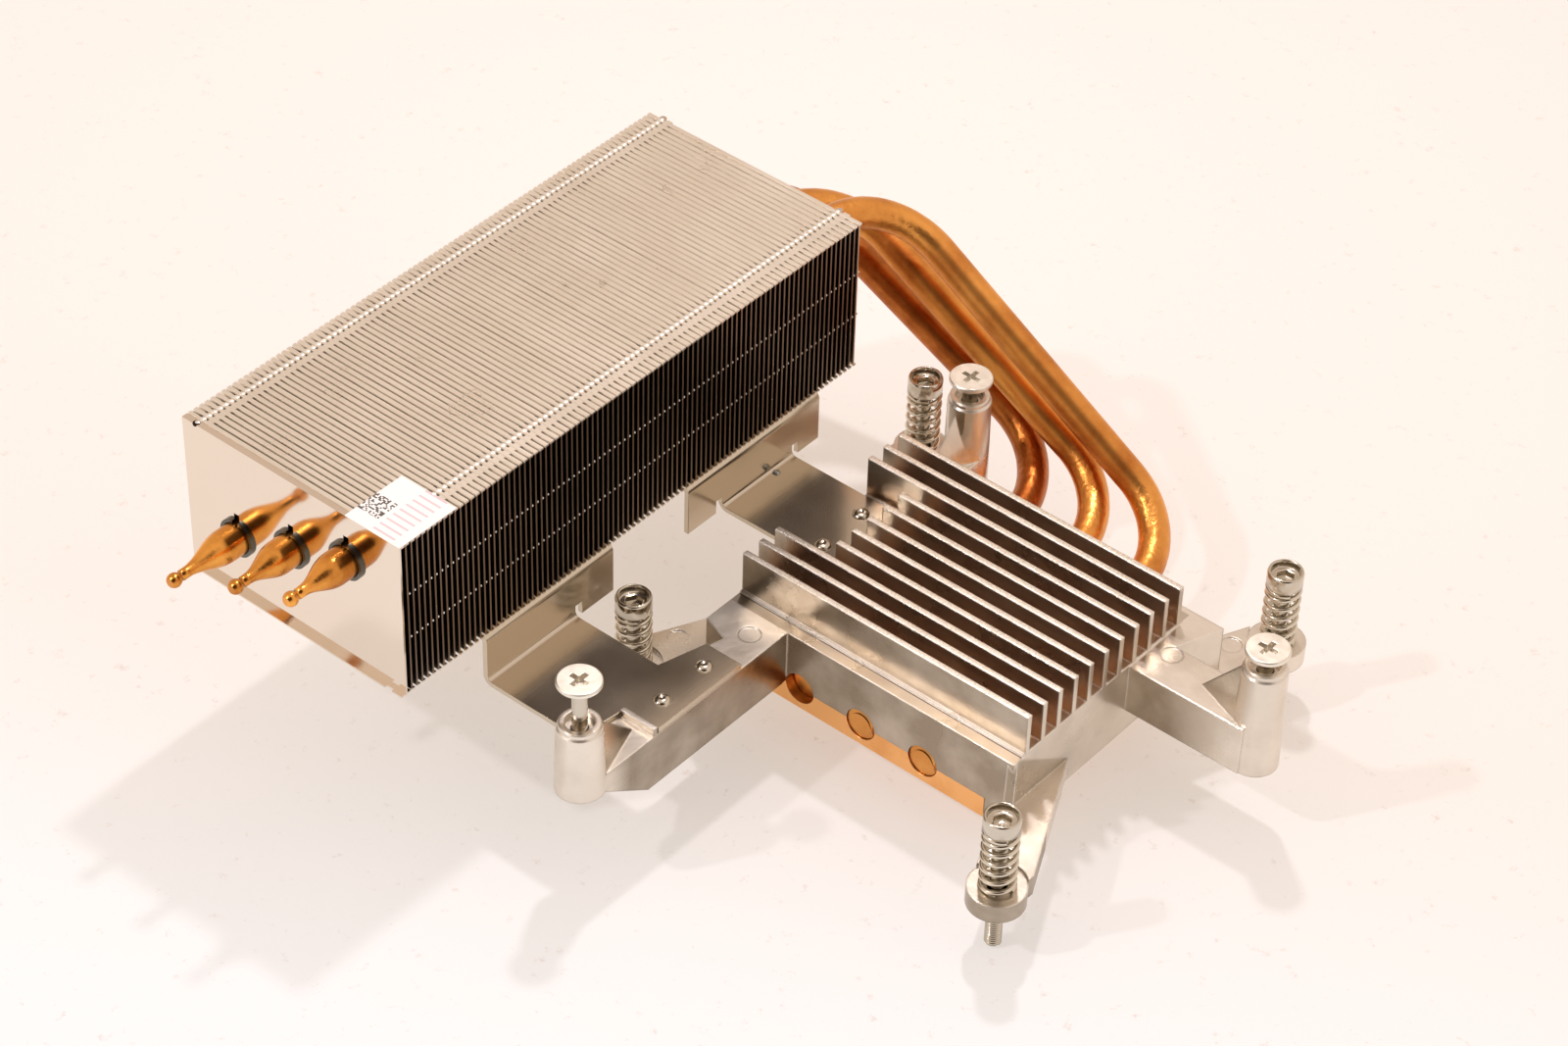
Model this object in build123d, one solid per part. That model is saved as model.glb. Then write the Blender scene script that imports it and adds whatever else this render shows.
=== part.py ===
from build123d import *
import math
import os

# Processor heatsink: a cast base with a copper plate, three bent heat pipes, a remote stack of
# sheet fins, two sheet brackets, four sprung screws and three captive screws in posts.
# Origin: middle of the four sprung screws, on the copper contact face. +Z is up, away from the
# processor. +Y runs along the fin stack and +X away from it. All lengths are in millimetres.

# Sprung mounting screws
screw_spacing_x = 80.0
screw_spacing_y = 80.0
screw_top_z = 21.4
screw_tip_z = -8.5
screw_head_d = 6.8
screw_head_h = 3.2
screw_cup_d = 5.4
screw_cup_depth = 1.3
screw_drive_d = 3.5
screw_drive_depth = 1.2
screw_shank_d = 2.7
screw_thread_d = 3.0
spring_turns = 6
spring_steps = 12
spring_wire_d = 0.8
spring_mean_d = 5.7
ring_d = 5.4
ring_bore_d = 2.2
ring_thickness = 0.6
ring_running_gap = 0.05
stop_gap = 0.05
seat_gap = 0.02
hole_clearance = 0.25

# Heat pipes
pipe_d = 6.0
pipe_count = 3
pipe_base_pitch = 13.6
pipe_base_centre_x = -1.5
pipe_lower_reach = [26.5, 25.4, 25.3]
pipe_upper_reach = [25.5, 25.2, 24.2]
pipe_lower_bend_r = [17.5, 15.7, 15.3]
pipe_upper_bend_r = 16.0
pipe_stack_step_x = 13.0
pipe_stack_step_z = 5.1
pipe_front_inset = [1.8, 0.0, 0.0]
pipe_tip_reach = [14.6, 12.8, 12.8]
pipe_body_reach = 3.4
tip_neck_d = 2.0
tip_ball_d = 2.7
tip_neck_length = 2.6
pipe_seat_gap = 0.1

# Copper contact plate
plate_length = 51.0
plate_thickness = 4.5
plate_side_gap = 0.1

# Cast base
block_length = 62.0
block_front_y = -24.9
block_rear_y = 26.0
base_top_z = 15.7
rail_bottom_z = 0.6
base_fin_count = 11
base_fin_pitch = 4.26
base_fin_thickness = 1.1
base_fin_height = 8.6
short_fin_first = 3
short_fin_last = 7
short_fin_setback = 10.2
plinth_height = 0.4
plinth_margin = 1.1
ejector_mark_d = 4.0
ejector_mark_depth = 0.2

# Arms and posts of the casting
arm_width = 8.0
front_arm_x = -22.1
front_post_y = -73.4
right_arm_y = 12.0
right_arm_width = 9.4
right_arm_bottom_z = 5.6
right_post_x = 54.7
rear_post_x = -25.8
rear_post_y = 34.4
post_top_z = [26.8, 28.4, 27.8]
post_d = [9.0, 8.6, 8.8]
post_top_d = 8.0
post_rim_d = 7.3
post_bore_d = 4.0
post_neck_d = 3.0
post_neck_length = 3.0
post_counterbore_d = 5.2
post_counterbore_depth = 1.4
post_rim_height = 0.9
front_post_bottom_z = 12.2
gusset_width = 8.2
gusset_length = [9.0, 7.5, 7.9]
gusset_drop = 2.4
front_slope_length = 11.2
arm_wall = 2.2
arm_pocket_depth = 5.0

# Tabs that carry the sprung screws
tab_top_z = 5.9
tab_bottom_z = 1.5
tab_ring_d = 10.4
tab_recess = 0.8
corner_rib_width = 1.8
corner_rib_length = 5.5

# Fin stack
fin_count = 92
fin_pitch = 1.27
fin_thickness = 0.35
fin_width = 49.8
fin_height = 31.9
fin_gap = 0.12
fin_hole_gap = 0.1
fin_hole_sides = 6
stack_right_x = -47.5
stack_front_y = -87.8
stack_bottom_z = 26.9
stack_pipe_x = -72.7
stack_pipe_z = 44.3
collar_wall = 0.6
collar_length = 1.5
collar_slot_width = 1.2
collar_slot_height = 1.8
lip_length = 1.1
lip_notch_width = 1.6
lip_notch_setback = 3.0

# Sheet brackets
sheet_t = 1.0
sheet_bend_r = 1.0
flange_length = 14.0
rear_web_front_y = -17.2
rear_web_rear_y = 18.6
rear_plate_front_y = -8.0
rear_plate_rear_y = 11.2
rear_plate_setback = 0.7
front_web_front_y = -68.6
front_web_rear_y = -36.8
front_plate_rear_y = -46.5
front_tongue_rear_y = -37.0
relief_width = 1.6
wing_lift = 0.3

# Rivets that hold the brackets on the casting
rivet_d = 2.2
rivet_head_d = 3.2
rivet_head_h = 0.7
rivet_dimple_d = 0.9
rivet_dimple_depth = 0.2
rivet_depth = 5.0
rivet_places = [(-27.8, 6.7), (-27.5, -4.2), (-22.6, -41.6), (-22.4, -52.6)]

# Captive screws in the posts: how far each head stands above the rim of its post
captive_lift = [9.4, 4.0, 3.6]
captive_head_d = 7.9
captive_head_h = 1.0
captive_cone_h = 1.6
captive_shank_d = 2.7
captive_thread_d = 3.6
captive_thread_length = [8.5, 18.6, 17.2]
captive_recess_d = 3.6
captive_recess_depth = 1.6
captive_recess_width = 0.9

# Label on the fin stack
label_x = 12.2
label_y = 13.2
label_t = 0.12

# Places worked out from the sizes above
half_x = screw_spacing_x / 2
half_y = screw_spacing_y / 2
block_left_x = -block_length / 2
block_right_x = block_length / 2
fin_row_y = (base_fin_count - 1) / 2 * base_fin_pitch
casting_bottom_z = plate_thickness
plate_top_z = base_top_z + sheet_t
stack_left_x = stack_right_x - fin_width
stack_length = fin_count * fin_pitch
stack_rear_y = stack_front_y + stack_length
stack_top_z = stack_bottom_z + fin_height
short_fin_left_x = block_left_x + short_fin_setback
posts = [
    (front_arm_x, front_post_y, front_post_bottom_z),
    (rear_post_x, rear_post_y, casting_bottom_z),
    (right_post_x, right_arm_y, right_arm_bottom_z),
]
post_names = ["front", "rear", "right"]
post_neck_z = [top - post_counterbore_depth - post_neck_length for top in post_top_z]
front_tongue_end_y = front_post_y + 15.2
ejector_marks = [
    (front_arm_x - 0.6, block_front_y - 4.6, base_top_z),
    (block_right_x + 3.6, right_arm_y + 2.6, base_top_z),
    (-half_x + 1.7, -half_y + 9.8, tab_top_z),
    (half_x - 4.8, half_y - 7.2, tab_top_z),
]
corners = [("rear_left", -1, 1), ("rear_right", 1, 1), ("front_right", 1, -1), ("front_left", -1, -1)]


def box(x0, x1, y0, y1, z0, z1):
    return Pos((x0 + x1) / 2, (y0 + y1) / 2, (z0 + z1) / 2) * Box(x1 - x0, y1 - y0, z1 - z0)


def cylinder(x, y, z0, z1, d):
    return Pos(x, y, (z0 + z1) / 2) * Cylinder(d / 2, z1 - z0)


def prism(points, z0, z1):
    return extrude(Pos(0, 0, z0) * make_face(Polyline(*points, close=True)), amount=z1 - z0, dir=(0, 0, 1))


def turned(profile):
    """Solid of revolution about Z from (radius, height) points."""
    return revolve(Plane.XZ * make_face(Polyline(*profile, close=True)), Axis.Z)


# Heat pipes

def pipe_base_x(i):
    return pipe_base_centre_x + (i - (pipe_count - 1) / 2) * pipe_base_pitch


def pipe_stack_place(i):
    step = i - (pipe_count - 1) / 2
    return stack_pipe_x + step * pipe_stack_step_x, stack_pipe_z + step * pipe_stack_step_z


def pipe_tip(i):
    """Spun-down end: body, cone, neck and a small sealed ball, along -Y."""
    x, z = pipe_stack_place(i)
    reach = pipe_tip_reach[i]
    r, neck_r, ball_r = pipe_d / 2, tip_neck_d / 2, tip_ball_d / 2
    cone_end = reach - tip_neck_length
    outline = Polyline((0, 0), (r, 0), (r, pipe_body_reach))
    taper = Spline(
        (r, pipe_body_reach), ((r + neck_r) / 2, (pipe_body_reach + cone_end) / 2), (neck_r, cone_end),
        tangents=[(0, 1), (0, 1)],
    )
    neck = Polyline((neck_r, cone_end), (neck_r, reach), (0, reach), (0, 0))
    tip = revolve(Plane.XZ * make_face(outline + taper + neck), Axis.Z)
    tip += Pos(0, 0, reach) * Sphere(ball_r)
    return Pos(x, stack_front_y, z) * Rot(90, 0, 0) * tip


def heat_pipe(i):
    x, z = pipe_stack_place(i)
    base_x = pipe_base_x(i)
    path = FilletPolyline(
        (base_x, block_front_y + pipe_front_inset[i], plate_thickness),
        (base_x, block_rear_y + pipe_lower_reach[i], plate_thickness),
        (x, block_rear_y + pipe_upper_reach[i], z),
        (x, stack_front_y, z),
        radius=[pipe_lower_bend_r[i], pipe_upper_bend_r],
    )
    tube = sweep(Plane(origin=path @ 0, z_dir=path % 0) * Circle(pipe_d / 2), path=path)
    return tube + pipe_tip(i)


# Copper contact plate

def pipe_bores(r):
    """Straight bores of the three base legs, right through the block."""
    length = block_rear_y - block_front_y + 2
    middle = (block_rear_y + block_front_y) / 2
    bores = [
        Pos(pipe_base_x(i), middle, plate_thickness) * Rot(90, 0, 0) * Cylinder(r, length)
        for i in range(pipe_count)
    ]
    return bores[0] + bores[1:]


def contact_plate():
    half = plate_length / 2
    plate = box(-half, half, block_front_y, block_rear_y, 0, plate_thickness)
    return plate - pipe_bores(pipe_d / 2 + pipe_seat_gap)


# Cast base

def tab_outline(sx, sy):
    """Wedge from the side of the block out to the screw, with a round end."""
    x, y = sx * half_x, sy * half_y
    edge_x = sx * block_right_x
    edge_y = block_rear_y if sy > 0 else -block_front_y
    inner_x = sx * (plate_length / 2 + plate_side_gap)
    r = tab_ring_d / 2
    wedge = [
        (inner_x, sy * (edge_y - 16)), (edge_x, sy * (edge_y - 16)), (x + sx * r * 0.7, y - sy * r),
        (x + sx * r * 0.7, y), (x - sx * r * 0.9, y), (x - sx * r * 1.35, y - sy * r),
        (edge_x - sx * 1.5, sy * edge_y), (inner_x, sy * edge_y),
    ]
    return wedge


def screw_tab(sx, sy):
    x, y = sx * half_x, sy * half_y
    arm = prism(tab_outline(sx, sy), tab_bottom_z, tab_top_z)
    arm -= cylinder(x, y, tab_bottom_z - 1, tab_top_z + 1, tab_ring_d)
    return arm + cylinder(x, y, tab_bottom_z, tab_top_z - tab_recess, tab_ring_d)


def post(i):
    """Slightly tapered post with a raised rim round its counterbore."""
    x, y, bottom_z = posts[i]
    r, top_r, rim_r = post_d[i] / 2, post_top_d / 2, post_rim_d / 2
    top = post_top_z[i]
    shoulder = top - post_rim_height
    return Pos(x, y, 0) * turned([
        (0, bottom_z), (r, bottom_z), (top_r, shoulder - 0.3), (top_r - 0.3, shoulder),
        (rim_r, shoulder), (rim_r, top - 0.2), (rim_r - 0.2, top), (0, top),
    ])


def gusset(i, turn):
    """Three-sided spur from a tip on the arm up to the rim of a post, turn being its heading."""
    x, y, bottom_z = posts[i]
    r, length = post_top_d / 2, gusset_length[i]
    top = post_top_z[i] - gusset_drop
    slope = (top - base_top_z) / length
    foot = base_top_z - 0.5
    near = 0.4 * r
    tip = Vertex(r + length + 0.5 / slope, 0, foot)
    wide = make_face(Polyline(
        (near, -gusset_width / 2, foot), (near, gusset_width / 2, foot),
        (near, 0, foot + slope * (r + length - near) + 0.5), close=True,
    ))
    spur = loft([wide, tip]) & box(0, r + length + 1, -gusset_width, gusset_width, foot - 1, top)
    return Pos(x, y, 0) * Rot(0, 0, turn) * spur


def corner_rib():
    """Thin sloping rib from the front right corner of the block down to its tab."""
    side = make_face(Polyline(
        (-2, tab_top_z - 1), (corner_rib_length, tab_top_z - 1), (corner_rib_length, tab_top_z),
        (0, base_top_z), (-2, base_top_z), close=True,
    ))
    turn = math.degrees(math.atan2(-half_y - block_front_y, half_x - block_right_x))
    rib = extrude(Plane.XZ * side, amount=corner_rib_width / 2, both=True)
    return Pos(block_right_x - 0.7, block_front_y + 0.7, 0) * Rot(0, 0, turn) * rib


def cast_base():
    half_arm = arm_width / 2
    half_right = right_arm_width / 2
    arm_left = front_arm_x - half_arm
    arm_right = front_arm_x + half_arm
    step_y = front_post_y + 12.5

    body = box(block_left_x, block_right_x, block_front_y, block_rear_y, casting_bottom_z, base_top_z)
    # side rails reach down past the copper plate
    rail_in = plate_length / 2 + plate_side_gap
    body += box(rail_in, block_right_x, block_front_y, block_rear_y, rail_bottom_z, base_top_z)
    body += box(block_left_x, -rail_in, block_front_y, block_rear_y, rail_bottom_z, base_top_z)
    # front arm, deeper near the block and shallow under its post
    body += prism([
        (block_left_x, block_front_y), (block_left_x, block_front_y - 6.4),
        (arm_left + 0.6, block_front_y - 8.4),
        (arm_left, block_front_y - 11), (arm_left, step_y), (arm_right, step_y), (arm_right, block_front_y),
    ], casting_bottom_z, base_top_z)
    body += Pos(arm_left, 0, 0) * extrude(Plane.YZ * make_face(Polyline(
        (step_y, casting_bottom_z), (step_y - front_slope_length, front_post_bottom_z),
        (front_post_y, front_post_bottom_z),
        (front_post_y, base_top_z), (step_y, base_top_z), close=True)), amount=arm_width)
    # right arm, with a corner pad that stands beside the rear fins
    pad_x = block_right_x + 6.4
    body += prism([
        (block_right_x - 1, right_arm_y - half_right), (right_post_x, right_arm_y - half_right),
        (right_post_x, right_arm_y + half_right), (block_right_x + 3, right_arm_y + half_right),
        (pad_x, block_rear_y), (block_right_x - 1, block_rear_y),
    ], right_arm_bottom_z, base_top_z)
    # short arm to the rear post
    body += box(rear_post_x - half_arm, rear_post_x + half_arm, block_rear_y - 1, rear_post_y,
                casting_bottom_z, base_top_z)
    # plinth under the fins and the fins on it, cut short where the rear bracket lies
    plinth_y = fin_row_y + plinth_margin
    body += box(block_left_x, block_right_x, -plinth_y, plinth_y, base_top_z, base_top_z + plinth_height)
    for i in range(base_fin_count):
        left = short_fin_left_x if short_fin_first <= i <= short_fin_last else block_left_x
        y = fin_row_y - i * base_fin_pitch
        half_t = base_fin_thickness / 2
        body += box(left, block_right_x, y - half_t, y + half_t, base_top_z, base_top_z + base_fin_height)
    body -= box(block_left_x - 1, short_fin_left_x - rear_plate_setback / 2, rear_plate_front_y - 0.6,
                rear_plate_rear_y + 0.6, base_top_z, base_top_z + base_fin_height)

    for name, sx, sy in corners:
        body += screw_tab(sx, sy)
    body += corner_rib()
    for i, turn in enumerate([90, -90, 180]):
        body += post(i)
        body += gusset(i, turn)
    # locating rib at the end of the front bracket's tongue
    body += box(arm_left + 0.4, arm_right - 0.2, front_tongue_end_y - 1.2, front_tongue_end_y - 0.2,
                base_top_z - 0.5, plate_top_z + 0.5)

    # the two long arms are cored out from below
    body -= box(arm_left + arm_wall, arm_right - arm_wall, step_y + arm_wall, block_front_y - arm_wall,
                casting_bottom_z - 1, casting_bottom_z + arm_pocket_depth)
    body -= box(block_right_x + 1.5 * arm_wall, right_post_x - post_d[2] / 2 - arm_wall,
                right_arm_y - half_right + arm_wall, right_arm_y + half_right - arm_wall,
                right_arm_bottom_z - 1, right_arm_bottom_z + arm_pocket_depth)

    # holes: pipes, sprung screws, captive screws, rivets
    body -= pipe_bores(pipe_d / 2 + pipe_seat_gap)
    for name, sx, sy in corners:
        body -= cylinder(sx * half_x, sy * half_y, tab_bottom_z - 1, tab_top_z + 1,
                         screw_thread_d + 2 * hole_clearance)
    for (x, y, bottom_z), neck_z, top in zip(posts, post_neck_z, post_top_z):
        body -= cylinder(x, y, bottom_z - 1, neck_z, post_bore_d)
        body -= cylinder(x, y, bottom_z, top + 1, post_neck_d)
        body -= cylinder(x, y, top - post_counterbore_depth, top + 1, post_counterbore_d)
    for x, y in rivet_places:
        body -= cylinder(x, y, base_top_z - rivet_depth, base_top_z + 1, rivet_d)
    # round marks left by the ejector pins
    for x, y, z in ejector_marks:
        body -= cylinder(x, y, z - ejector_mark_depth, z + 1, ejector_mark_d)
    return body


# Fin stack

def fin_profile():
    """Section across a folded fin: a web with a flange at its top and bottom, in Y and Z."""
    t = fin_thickness
    reach = fin_pitch - fin_gap
    return [
        (0, 0), (reach, 0), (reach, t), (t, t), (t, fin_height - t), (reach, fin_height - t),
        (reach, fin_height), (0, fin_height),
    ]


def fin_holes():
    """Flat-sided holes that clear the pipes, because a stack of round ones would be a heavy mesh."""
    hole_r = (pipe_d / 2 + fin_hole_gap) / math.cos(math.pi / fin_hole_sides)
    holes = []
    for i in range(pipe_count):
        x, z = pipe_stack_place(i)
        face = RegularPolygon(hole_r, fin_hole_sides)
        plane = Plane(origin=(x, -fin_pitch, z), x_dir=(1, 0, 0), z_dir=(0, 1, 0))
        holes.append(extrude(plane * face, amount=3 * fin_pitch))
    return holes


def folded_sheet():
    """One fin without holes, its web at y = 0 and its flanges towards +Y."""
    section = make_face(Polyline(*fin_profile(), close=True))
    end_plane = Plane(origin=(stack_left_x, 0, stack_bottom_z), x_dir=(0, 1, 0), z_dir=(1, 0, 0))
    return extrude(end_plane * section, amount=fin_width)


def fin_stack():
    fin = folded_sheet() - fin_holes()
    return Compound(children=[Pos(0, stack_front_y + k * fin_pitch, 0) * fin for k in range(1, fin_count)])


def front_fin():
    """First fin of the stack: plain mirror plate with drawn collars and a lip along its foot."""
    fin = Pos(0, stack_front_y, 0) * folded_sheet()
    fin += box(stack_left_x, stack_right_x, stack_front_y - lip_length, stack_front_y + fin_thickness,
               stack_bottom_z, stack_bottom_z + fin_thickness)
    notch_x = stack_right_x - lip_notch_setback
    fin -= box(notch_x - lip_notch_width / 2, notch_x + lip_notch_width / 2, stack_front_y - lip_length - 1,
               stack_front_y - lip_length / 2, stack_bottom_z - 1, stack_bottom_z + 1)
    bore_r = pipe_d / 2 + fin_hole_gap
    for i in range(pipe_count):
        x, z = pipe_stack_place(i)
        back = Pos(x, stack_front_y, z) * Rot(90, 0, 0)
        collar = back * Pos(0, 0, collar_length / 2) * Cylinder(bore_r + collar_wall, collar_length)
        bore = back * Cylinder(bore_r, 2 * collar_length + 1)
        slot = box(x - collar_slot_width / 2, x + collar_slot_width / 2, stack_front_y - collar_length - 1,
                   stack_front_y + 1, z, z + bore_r + collar_slot_height)
        fin = fin + collar - bore - slot
    return fin


# Sheet brackets

def bent_sheet(corners, y0, y1):
    """Bent sheet whose centre line has these corners in X and Z, from y0 to y1."""
    line = FilletPolyline(*corners, radius=sheet_bend_r + sheet_t / 2)
    return Pos(0, y1, 0) * extrude(Plane.XZ * trace(line, sheet_t), amount=y1 - y0)


def bracket(web_y, plate_y, plate_outline, reliefs):
    """Z bracket: riveted plate, upright web and a flange soldered under the fins."""
    x_web = stack_right_x - sheet_t / 2
    z_low = base_top_z + sheet_t / 2
    z_high = stack_bottom_z - sheet_t / 2
    upper = [(x_web, z_high), (x_web - flange_length, z_high)]
    reach = max(x for x, y in plate_outline)
    sheet = bent_sheet([(reach, z_low), (x_web, z_low)] + upper, *plate_y)
    sheet &= prism(plate_outline, base_top_z - 1, plate_top_z + 0.001) + box(
        x_web - flange_length - 1, plate_outline[0][0], plate_y[0] - 1, plate_y[1] + 1, base_top_z - 1,
        stack_bottom_z + 1)
    wings = bent_sheet([(x_web, base_top_z + wing_lift)] + upper, *web_y)
    for y in reliefs:
        wings -= box(x_web - sheet_t, x_web + sheet_t, y - relief_width / 2, y + relief_width / 2,
                     base_top_z - 1, base_top_z + sheet_t + 2 * sheet_bend_r)
    for y0, y1 in [(web_y[0] - 1, plate_y[0]), (plate_y[1], web_y[1] + 1)]:
        if y1 - y0 > 1:
            sheet += wings & box(x_web - flange_length - 1, x_web + 1, y0, y1, base_top_z - 1,
                                 stack_bottom_z + 1)
    return sheet


def rear_bracket():
    x0, x1 = stack_right_x + sheet_bend_r, short_fin_left_x - rear_plate_setback
    y0, y1 = rear_plate_front_y, rear_plate_rear_y
    outline = [(x0, y0), (x1, y0), (x1, y1), (x0, y1)]
    plate = bracket((rear_web_front_y, rear_web_rear_y), (y0, y1), outline,
                    [y0 - relief_width / 2, y1 + relief_width / 2])
    return plate - rivet_holes(rivet_places[:2])


def front_bracket():
    x0 = stack_right_x + sheet_bend_r
    y0, y1 = front_web_front_y, front_tongue_rear_y
    arm_left, arm_right = front_arm_x - arm_width / 2, front_arm_x + arm_width / 2
    outline = [
        (x0, y0), (arm_left - 0.9, y0), (arm_left + 0.4, front_tongue_end_y - 1.4),
        (arm_left + 0.4, front_tongue_end_y), (arm_right - 0.1, front_tongue_end_y), (arm_right - 0.1, y1),
        (arm_left, y1), (arm_left - 2.6, front_plate_rear_y), (x0, front_plate_rear_y),
    ]
    tongue = prism(outline, base_top_z, plate_top_z)
    plate = bracket((front_web_front_y, front_web_rear_y), (y0, front_plate_rear_y), outline,
                    [front_plate_rear_y + relief_width / 2])
    return plate + tongue - rivet_holes(rivet_places[2:])


def rivet_holes(places):
    holes = [cylinder(x, y, base_top_z - 1, plate_top_z + 1, rivet_d) for x, y in places]
    return holes[0] + holes[1:]


def rivet(x, y):
    """Round-headed rivet through a bracket into the casting."""
    r, head_r, h = rivet_d / 2, rivet_head_d / 2, rivet_head_h
    return Pos(x, y, plate_top_z) * turned([
        (0, -sheet_t - rivet_depth + 0.2), (r, -sheet_t - rivet_depth + 0.2), (r, 0), (head_r, 0),
        (head_r * 0.92, h * 0.5), (head_r * 0.6, h * 0.9), (rivet_dimple_d / 2, h),
        (0, h - rivet_dimple_depth),
    ])


# Sprung screws

def sprung_screw(x, y):
    """Cup head with a socket, shank, groove for the ring and a threaded end drawn plain."""
    head_r, shank_r, thread_r = screw_head_d / 2, screw_shank_d / 2, screw_thread_d / 2
    head_low = screw_top_z - screw_head_h
    cup_r, cup_floor = screw_cup_d / 2, screw_top_z - screw_cup_depth
    groove_low = tab_bottom_z - stop_gap - ring_thickness - 0.05
    groove_high = tab_bottom_z - stop_gap + 0.05
    thread_top = tab_bottom_z - stop_gap - ring_thickness - 0.6
    screw = turned([
        (0, screw_tip_z), (thread_r - 0.5, screw_tip_z), (thread_r, screw_tip_z + 0.5),
        (thread_r, thread_top), (shank_r, thread_top), (shank_r, groove_low),
        (ring_bore_d / 2, groove_low), (ring_bore_d / 2, groove_high),
        (shank_r, groove_high), (shank_r, head_low), (head_r - 0.3, head_low), (head_r, head_low + 0.3),
        (head_r, screw_top_z - 0.5), (head_r - 0.5, screw_top_z), (cup_r, screw_top_z), (cup_r, cup_floor),
        (0, cup_floor),
    ])
    socket = Pos(0, 0, cup_floor - screw_drive_depth) * RegularPolygon(screw_drive_d / 2, 6)
    return Pos(x, y, 0) * (screw - extrude(socket, amount=screw_drive_depth + 1))


def retaining_ring(x, y):
    """Flat ring in the screw's groove, under the tab."""
    z1 = tab_bottom_z - stop_gap
    ring = cylinder(0, 0, z1 - ring_thickness, z1, ring_d)
    ring -= cylinder(0, 0, z1 - ring_thickness - 1, z1 + 1, ring_bore_d + 2 * ring_running_gap)
    return Pos(x, y, 0) * ring


def screw_spring(x, y):
    """Coil spring from the tab to the screw's head."""
    low = tab_top_z - tab_recess + spring_wire_d / 2 + seat_gap
    high = screw_top_z - screw_head_h - spring_wire_d / 2 - seat_gap
    r = spring_mean_d / 2
    steps = spring_turns * spring_steps
    turn = 2 * math.pi / spring_steps
    coil = Polyline(*[
        (r * math.cos(k * turn), r * math.sin(k * turn), (high - low) * k / steps) for k in range(steps + 1)
    ])
    start = Plane(origin=coil @ 0, x_dir=(1, 0, 0), z_dir=coil % 0)
    section = start * Rectangle(spring_wire_d, spring_wire_d)
    return Pos(x, y, low) * sweep(section, path=coil, transition=Transition.RIGHT)


# Captive screws

def captive_screw(i):
    """Flat head with a cone below it and a cross recess. The shoulder of its thread is wider than
    the neck in the post, so the screw can't be drawn out."""
    x, y, bottom_z = posts[i]
    r, shank_r, thread_r = captive_head_d / 2, captive_shank_d / 2, captive_thread_d / 2
    top = post_top_z[i] + captive_lift[i]
    cone_top = top - captive_head_h
    thread_top = post_neck_z[i] - stop_gap
    tip = thread_top - captive_thread_length[i]
    screw = turned([
        (0, tip), (thread_r - 0.5, tip), (thread_r, tip + 0.5), (thread_r, thread_top),
        (shank_r, thread_top), (shank_r, cone_top - captive_cone_h), (r - 0.2, cone_top),
        (r, cone_top + 0.2), (r, top - 0.2), (r - 0.2, top),
        (0, top),
    ])
    half, half_w = captive_recess_d / 2, captive_recess_width / 2
    floor = top - captive_recess_depth
    cross = box(-half, half, -half_w, half_w, floor, top + 1)
    cross += box(-half_w, half_w, -half, half, floor, top + 1)
    return Pos(x, y, 0) * (screw - cross)


def label():
    """Plain paper label on the front right corner of the fin stack."""
    return box(stack_right_x - label_x, stack_right_x, stack_front_y, stack_front_y + label_y, stack_top_z,
               stack_top_z + label_t)


parts = {
    "cast_base": cast_base(),
    "contact_plate": contact_plate(),
    "front_fin": front_fin(),
    "fin_stack": fin_stack(),
    "rear_bracket": rear_bracket(),
    "front_bracket": front_bracket(),
    "bracket_rivets": Compound(children=[rivet(x, y) for x, y in rivet_places]),
    "paper_label": label(),
}
for i, name in enumerate(["left", "middle", "right"]):
    parts[f"heat_pipe_{name}"] = heat_pipe(i)
for name, sx, sy in corners:
    place = sx * half_x, sy * half_y
    parts[f"sprung_screw_{name}"] = sprung_screw(*place)
    parts[f"screw_spring_{name}"] = screw_spring(*place)
    parts[f"retaining_ring_{name}"] = retaining_ring(*place)
for i, name in enumerate(post_names):
    parts[f"captive_screw_{name}"] = captive_screw(i)

os.makedirs("parts", exist_ok=True)
for name, solid in parts.items():
    export_step(solid, f"parts/{name}.step")
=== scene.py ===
import bpy
import bmesh
import math
from mathutils import Matrix, Vector


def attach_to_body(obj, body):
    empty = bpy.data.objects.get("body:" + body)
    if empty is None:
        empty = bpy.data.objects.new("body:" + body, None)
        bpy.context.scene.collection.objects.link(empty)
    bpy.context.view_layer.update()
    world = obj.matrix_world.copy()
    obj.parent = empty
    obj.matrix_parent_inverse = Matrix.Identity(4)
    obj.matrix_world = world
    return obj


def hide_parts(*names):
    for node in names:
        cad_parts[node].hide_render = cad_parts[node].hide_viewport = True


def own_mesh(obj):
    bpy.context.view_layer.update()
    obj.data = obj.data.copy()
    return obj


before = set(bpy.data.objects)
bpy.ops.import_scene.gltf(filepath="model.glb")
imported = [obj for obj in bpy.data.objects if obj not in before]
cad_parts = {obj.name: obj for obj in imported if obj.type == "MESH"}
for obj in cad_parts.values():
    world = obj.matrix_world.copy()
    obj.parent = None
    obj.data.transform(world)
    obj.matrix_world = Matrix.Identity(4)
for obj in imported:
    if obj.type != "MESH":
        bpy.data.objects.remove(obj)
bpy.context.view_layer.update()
mm = 0.001


# Helpers for node trees

def linearColour(hexCode):
    channels = [int(hexCode[i:i + 2], 16) / 255 for i in (1, 3, 5)]
    return tuple(c / 12.92 if c <= 0.04045 else ((c + 0.055) / 1.055) ** 2.4 for c in channels) + (1.0,)


def setInputs(tree, node, inputs):
    # a socket is linked, anything else becomes the input's own value
    for name, value in inputs.items():
        if isinstance(value, bpy.types.NodeSocket):
            tree.links.new(value, node.inputs[name])
        else:
            node.inputs[name].default_value = value


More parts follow.
